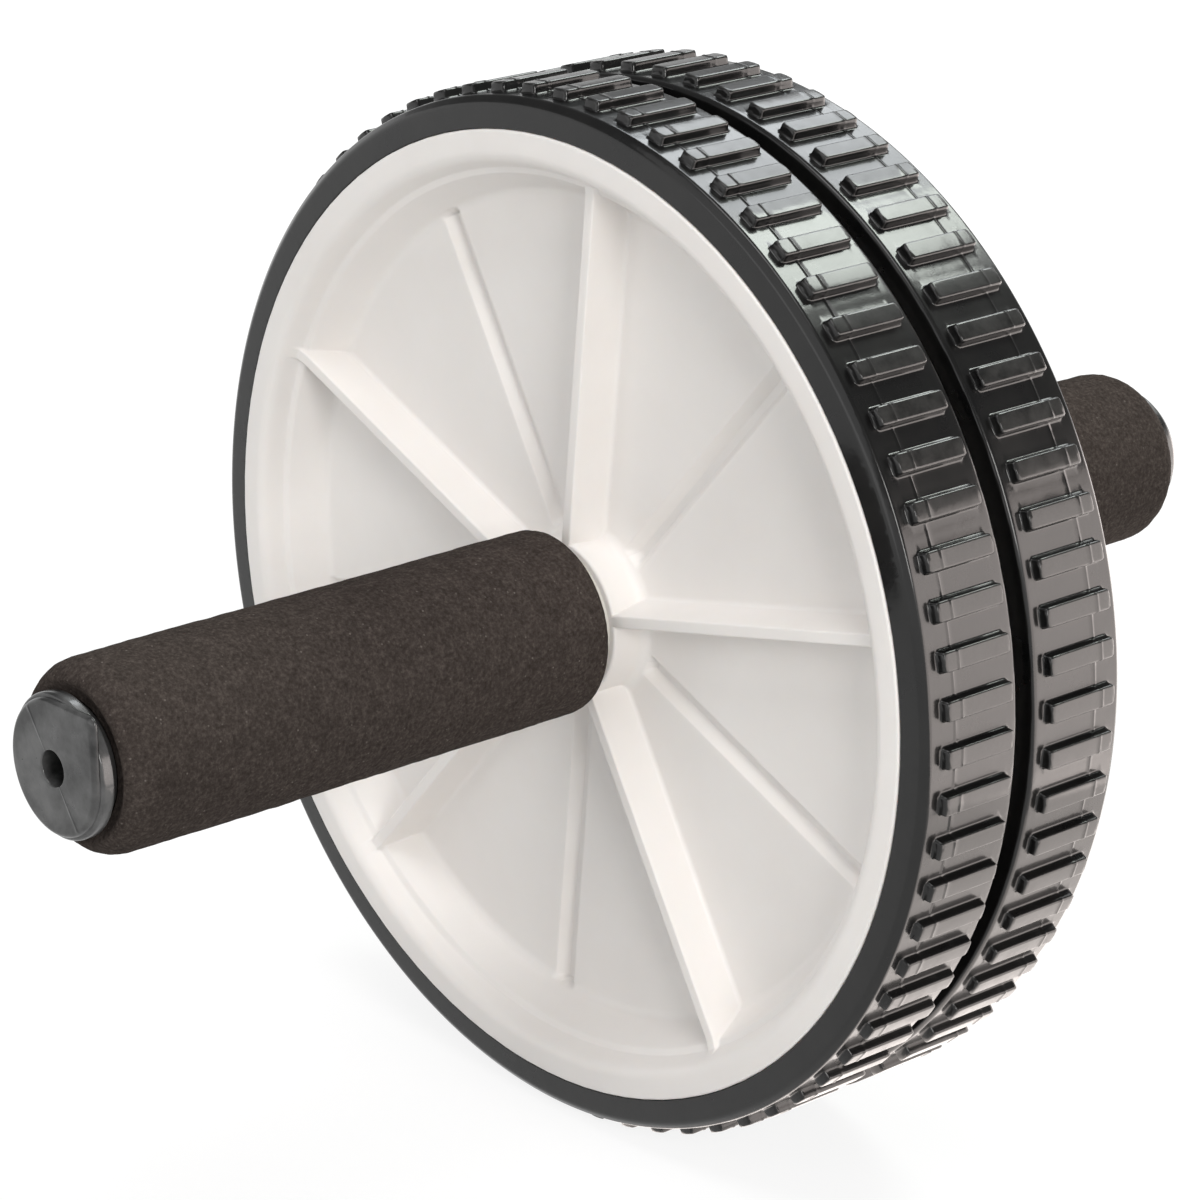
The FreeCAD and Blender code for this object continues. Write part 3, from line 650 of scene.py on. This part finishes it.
def white_plastic():
    """Warm white moulded plastic, faintly mottled, with a satin skin."""
    material, tree, shader = new_material("white_moulding", Subsurface_Weight=0.1, Subsurface_Scale=0.003,
                                          Subsurface_Radius=(1.0, 0.75, 0.55))
    place = object_place(tree)
    mottle = noise(tree, place, scale=38, detail=4)
    colour = ramp(tree, mottle, [(0.3, (0.80, 0.766, 0.739)), (0.7, (0.84, 0.81, 0.785))])
    tree.links.new(colour, shader.inputs["Base Color"])
    satin = noise(tree, place, scale=160, detail=3)
    tree.links.new(spread(tree, satin, low=0.36, high=0.5), shader.inputs["Roughness"])
    flow = bump(tree, noise(tree, place, scale=60, detail=2), strength=0.12, distance=0.0006)
    skin = bump(tree, noise(tree, place, scale=1800, detail=2), strength=0.10, distance=0.00006, normal=flow)
    tree.links.new(skin, shader.inputs["Normal"])
    return material


def tyre_plastic():
    """Black glossy soft plastic, its skin a little wavy, with the tops of the lugs scuffed."""
    material, tree, shader = new_material("black_tyre_plastic", Specular_IOR_Level=0.15, Coat_Weight=0.35,
                                          Coat_IOR=1.6, Coat_Roughness=0.1)
    place = object_place(tree)
    radius = length_of(tree, scaled(tree, place, (1, 0, 1)))
    lug_top = spread(tree, radius, low=0, high=1, start=(TREAD_RADIUS + SCUFF_START) * MM,
                     end=(TREAD_RADIUS + SCUFF_FULL) * MM)
    scuff = spread(tree, noise(tree, place, scale=320, detail=5, roughness=0.7), low=0.15, high=1.0)
    wear = combine(tree, "MULTIPLY", lug_top, scuff)
    clouds = spread(tree, noise(tree, place, scale=90, detail=5), low=0, high=0.25)
    tone = combine(tree, "MAXIMUM", wear, clouds)
    colour = ramp(tree, tone, [(0.0, (0.0035, 0.0035, 0.0037)), (0.25, (0.008, 0.0078, 0.0075)),
                               (1.0, (0.024, 0.0234, 0.0225))])
    tree.links.new(colour, shader.inputs["Base Color"])
    tree.links.new(spread(tree, tone, low=0.26, high=0.5, start=0.0, end=1.0), shader.inputs["Roughness"])
    wave = bump(tree, noise(tree, place, scale=130, detail=2), strength=0.10, distance=0.0006)
    skin = bump(tree, noise(tree, place, scale=1500, detail=3), strength=0.06, distance=0.0001, normal=wave)
    tree.links.new(skin, shader.inputs["Normal"])
    tree.links.new(skin, shader.inputs["Coat Normal"])
    return material


def foam_rubber():
    """Dark closed-cell foam: fine grain, dark pores and scattered light specks."""
    material, tree, shader = new_material("dark_foam", Roughness=1.0, Specular_IOR_Level=0.03)
    place = object_place(tree)
    grain = noise(tree, place, scale=1500, detail=4, roughness=0.7)
    base = ramp(tree, grain, [(0.3, (0.030, 0.0238, 0.0211)), (0.5, (0.050, 0.0405, 0.0361)),
                              (0.7, (0.082, 0.0675, 0.0604))])
    cells = add_node(tree, "ShaderNodeTexVoronoi", {"Vector": place, "Scale": 900}).outputs["Distance"]
    speck = spread(tree, cells, low=1, high=0, start=0.05, end=0.2)
    chosen = spread(tree, noise(tree, place, scale=700, detail=1), low=0, high=1, start=0.54, end=0.66)
    amount = combine(tree, "MULTIPLY", speck, chosen)
    clumps = spread(tree, noise(tree, place, scale=420, detail=2), low=0.9, high=1.1, start=0.35, end=0.65)
    colour = add_node(tree, "ShaderNodeMixRGB", {"Fac": amount, "Color1": scaled(tree, base, clumps),
                                                 "Color2": (0.16, 0.138, 0.126, 1)})
    tree.links.new(colour.outputs["Color"], shader.inputs["Base Color"])
    pores = bump(tree, cells, strength=0.3, distance=0.0002)
    skin = bump(tree, grain, strength=0.4, distance=0.0002, normal=pores)
    tree.links.new(skin, shader.inputs["Normal"])
    return material


def cap_plastic():
    """Glossy black moulded plastic with faint smears; grey clouds in its colour are painted reflection."""
    material, tree, shader = new_material("black_gloss_plastic", Specular_IOR_Level=0.3, Coat_Weight=0.3,
                                          Coat_IOR=1.6, Coat_Roughness=0.08)
    place = object_place(tree)
    # Painted reflection: grey clouds in the base colour stand in for uneven reflections on the cap's face
    clouds = noise(tree, place, scale=95, detail=5, roughness=0.6)
    colour = ramp(tree, clouds, [(0.4, (0.003, 0.003, 0.003)), (0.64, (0.08, 0.08, 0.08))])
    tree.links.new(colour, shader.inputs["Base Color"])
    smear = noise(tree, place, scale=300, detail=4)
    tree.links.new(spread(tree, smear, low=0.25, high=0.4), shader.inputs["Roughness"])
    skin = bump(tree, noise(tree, place, scale=500, detail=3), strength=0.15, distance=0.0002)
    tree.links.new(skin, shader.inputs["Normal"])
    return material


def dull_plastic(name, dark, light, roughness):
    """Moulded plastic of a hidden piece, lightly mottled and grained."""
    material, tree, shader = new_material(name)
    place = object_place(tree)
    colour = ramp(tree, noise(tree, place, scale=120, detail=4), [(0.3, dark), (0.7, light)])
    tree.links.new(colour, shader.inputs["Base Color"])
    patches = noise(tree, place, scale=200, detail=3)
    tree.links.new(spread(tree, patches, low=roughness - 0.06, high=roughness + 0.08),
                   shader.inputs["Roughness"])
    skin = bump(tree, noise(tree, place, scale=1200, detail=3), strength=0.15, distance=0.0001)
    tree.links.new(skin, shader.inputs["Normal"])
    return material


def turned_steel():
    """Bright turned steel with fine rings from the lathe."""
    material, tree, shader = new_material("turned_steel", Metallic=1.0)
    place = object_place(tree)
    lines = noise(tree, scaled(tree, place, (60, 4000, 60)), scale=1, detail=3)
    colour = ramp(tree, lines, [(0.3, (0.50, 0.50, 0.50)), (0.7, (0.66, 0.655, 0.64))])
    tree.links.new(colour, shader.inputs["Base Color"])
    tree.links.new(spread(tree, lines, low=0.24, high=0.40), shader.inputs["Roughness"])
    tree.links.new(bump(tree, lines, strength=0.2, distance=0.00003), shader.inputs["Normal"])
    return material


def pale_paint():
    """Matt white that keeps shadows near the object and looks plain white farther off and in reflections."""
    material = bpy.data.materials.new("pale_floor")
    material.use_nodes = True
    tree = material.node_tree
    tree.nodes.remove(tree.nodes["Principled BSDF"])
    matt = add_node(tree, "ShaderNodeBsdfDiffuse", {"Color": FLOOR_GREY})
    glow = add_node(tree, "ShaderNodeEmission", {"Color": (1, 1, 1, 1), "Strength": FLOOR_GLOW})
    rays = add_node(tree, "ShaderNodeLightPath").outputs
    seen = rays["Is Camera Ray"]
    for kind in ("Is Glossy Ray", "Is Transmission Ray"):
        seen = combine(tree, "MAXIMUM", seen, rays[kind])
    distance = length_of(tree, object_place(tree))
    plain = spread(tree, distance, FLOOR_NEAR_SHARE, FLOOR_FAR_SHARE, start=FLOOR_NEAR, end=FLOOR_FAR)
    share = combine(tree, "MULTIPLY", seen, plain)
    mixed = add_node(tree, "ShaderNodeMixShader", {0: share, 1: matt.outputs["BSDF"],
                                                   2: glow.outputs["Emission"]})
    tree.links.new(mixed.outputs["Shader"], tree.nodes["Material Output"].inputs["Surface"])
    return material


def dress_hidden_nodes():
    """Materials of the nodes that keep their own shape."""
    steel = turned_steel()
    black = dull_plastic("black_plastic", (0.018, 0.018, 0.018), (0.032, 0.031, 0.030), roughness=0.5)
    bush = dull_plastic("bush_plastic", (0.62, 0.60, 0.55), (0.70, 0.68, 0.63), roughness=0.42)
    finish = {"thrust_washer": steel, "screw_washer": steel, "clamp_screw": steel, "handle_core": black,
              "inner_bush": bush, "outer_bush": bush}
    shown = {"axle_rod": steel, "centre_spacer": black}
    for side in SIDES:
        shown |= {f"{side}_{kind}": material for kind, material in finish.items()}
    for node, material in shown.items():
        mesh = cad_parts[node].data
        mesh.materials.clear()
        mesh.materials.append(material)


def build_pieces():
    """Wheels, tyres, grips and caps of both sides, each standing for its own node."""
    white, black, foam, gloss = white_plastic(), tyre_plastic(), foam_rubber(), cap_plastic()
    wheel_start, wheel_end = extent("left_wheel")
    tyre_start, tyre_end = extent("left_tyre")
    foam_start, foam_end = extent("left_foam_grip")
    cap_start, cap_end = extent("left_end_cap")
    wheel = wheel_points(wheel_end - wheel_start) + (0, wheel_start, 0)
    tyre = tyre_points(tyre_end - tyre_start) + (0, tyre_start, 0)
    cap = cap_points(cap_end - cap_start) + (0, cap_start, 0)
    for side in SIDES:
        grip = foam_points(foam_end - foam_start, FOAM_SEED[side]) + (0, foam_start, 0)
        made = (
            ("wheel", wheel, WHEEL_TURN[side], white, f"{side}_wheel_set", "white_plastic"),
            ("tyre", tyre, TYRE_TURN[side], black, f"{side}_wheel_set", "black_tyre"),
            ("foam_grip", grip, 0.0, foam, "handlebar", "foam"),
            ("end_cap", cap, CAP_TURN[side], gloss, "handlebar", "black_gloss"),
        )
        for kind, points, turn, material, body, slot in made:
            piece = grid_piece(f"{side}_{kind}_look", placed(points, side, turn), material)
            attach(piece, body)
            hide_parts(f"{side}_{kind}")


def make_floor():
    """Plain pale floor under the tyres, curved up all round into a low backdrop."""
    outline = rounded([
        (0, 0, 0),
        (BACKDROP_RADIUS, 0, BACKDROP_BEND),
        (BACKDROP_RADIUS, BACKDROP_HEIGHT, 0),
    ], BACKDROP_SPACING)
    edges = [(index, index + 1) for index in range(len(outline) - 1)]
    mesh = bpy.data.meshes.new("floor")
    mesh.from_pydata([(across, 0, up) for across, up in outline], edges, [])
    floor = bpy.data.objects.new("floor", mesh)
    floor.location.z = cad_box[0].z
    bpy.context.scene.collection.objects.link(floor)
    turned = floor.modifiers.new("turned", "SCREW")
    turned.steps = turned.render_steps = BACKDROP_STEPS
    turned.use_merge_vertices = True
    mesh.materials.append(pale_paint())


def area_light(name, place, size, power, colour=(1, 1, 1), aim=AXLE_MIDDLE, gloss_only=False):
    """Soft rectangular light, aimed at a point and out of the camera's sight; it may show in gloss only."""
    lamp = bpy.data.lights.new(name, "AREA")
    lamp.shape = "RECTANGLE"
    lamp.size, lamp.size_y = size
    lamp.energy = power
    lamp.color = colour
    holder = bpy.data.objects.new(name, lamp)
    holder.location = place
    holder.rotation_euler = (Vector(aim) - Vector(place)).to_track_quat("-Z", "Y").to_euler()
    holder.visible_camera = False
    holder.visible_diffuse = not gloss_only
    bpy.context.scene.collection.objects.link(holder)


def light_scene():
    """Soft studio light: an even surround, a key from the right, a window behind, and cards seen in gloss."""
    world = bpy.data.worlds.new("surround")
    bpy.context.scene.world = world
    world.use_nodes = True
    surround = world.node_tree.nodes["Background"]
    surround.inputs["Color"].default_value = (1, 1, 1, 1)
    surround.inputs["Strength"].default_value = SURROUND_STRENGTH
    area_light("key", (1.16, -0.50, 0.50), size=(0.45, 0.45), power=7.75, colour=(1.0, 0.985, 0.965))
    area_light("top", (0.15, -0.45, 1.4), size=(0.9, 0.6), power=7.6)
    area_light("front", (-0.1, -1.4, 0.7), size=(1.6, 1.4), power=7.6)
    area_light("back", (-0.25, 1.05, 1.15), size=(1.2, 0.7), power=6.0)
    area_light("sky_card", (-0.52, 0.98, 1.10), size=(0.8, 0.55), power=7.0, colour=(0.9, 0.96, 1.0),
               gloss_only=True)
    area_light("window", (0.09, 0.77, 1.04), size=(0.38, 0.32), power=5.6, colour=(0.92, 1.0, 0.92))
    area_light("low_card", (0.42, 0.37, 0.11), size=(0.9, 0.84), power=10.4, colour=(1.0, 0.89, 0.84),
               aim=(0.075, 0.075, 1.0), gloss_only=True)
    on_floor = cad_box[0].z + FLOOR_CARD_GAP
    area_light("floor_card", (0.09, 0.07, on_floor), size=(0.18, 0.18), power=0.28, colour=(1.0, 0.89, 0.83),
               aim=(0.09, 0.07, 1.0), gloss_only=True)


def aim_camera():
    """Camera at the photograph's viewing angle and focal length."""
    azimuth, elevation = math.radians(CAMERA_AZIMUTH), math.radians(CAMERA_ELEVATION)
    data = bpy.data.cameras.new("camera")
    data.sensor_width = SENSOR_WIDTH
    data.lens = FOCAL_PIXELS / FRAME_PIXELS * data.sensor_width
    camera = bpy.data.objects.new("camera", data)
    camera.location = CAMERA_PLACE
    back = Vector((math.sin(azimuth) * math.cos(elevation), -math.cos(azimuth) * math.cos(elevation),
                   math.sin(elevation)))
    camera.rotation_euler = (-back).to_track_quat("-Z", "Y").to_euler()
    bpy.context.scene.collection.objects.link(camera)
    bpy.context.scene.camera = camera


build_pieces()
dress_hidden_nodes()
make_floor()
light_scene()
aim_camera()
bpy.context.scene.view_settings.view_transform = "Standard"
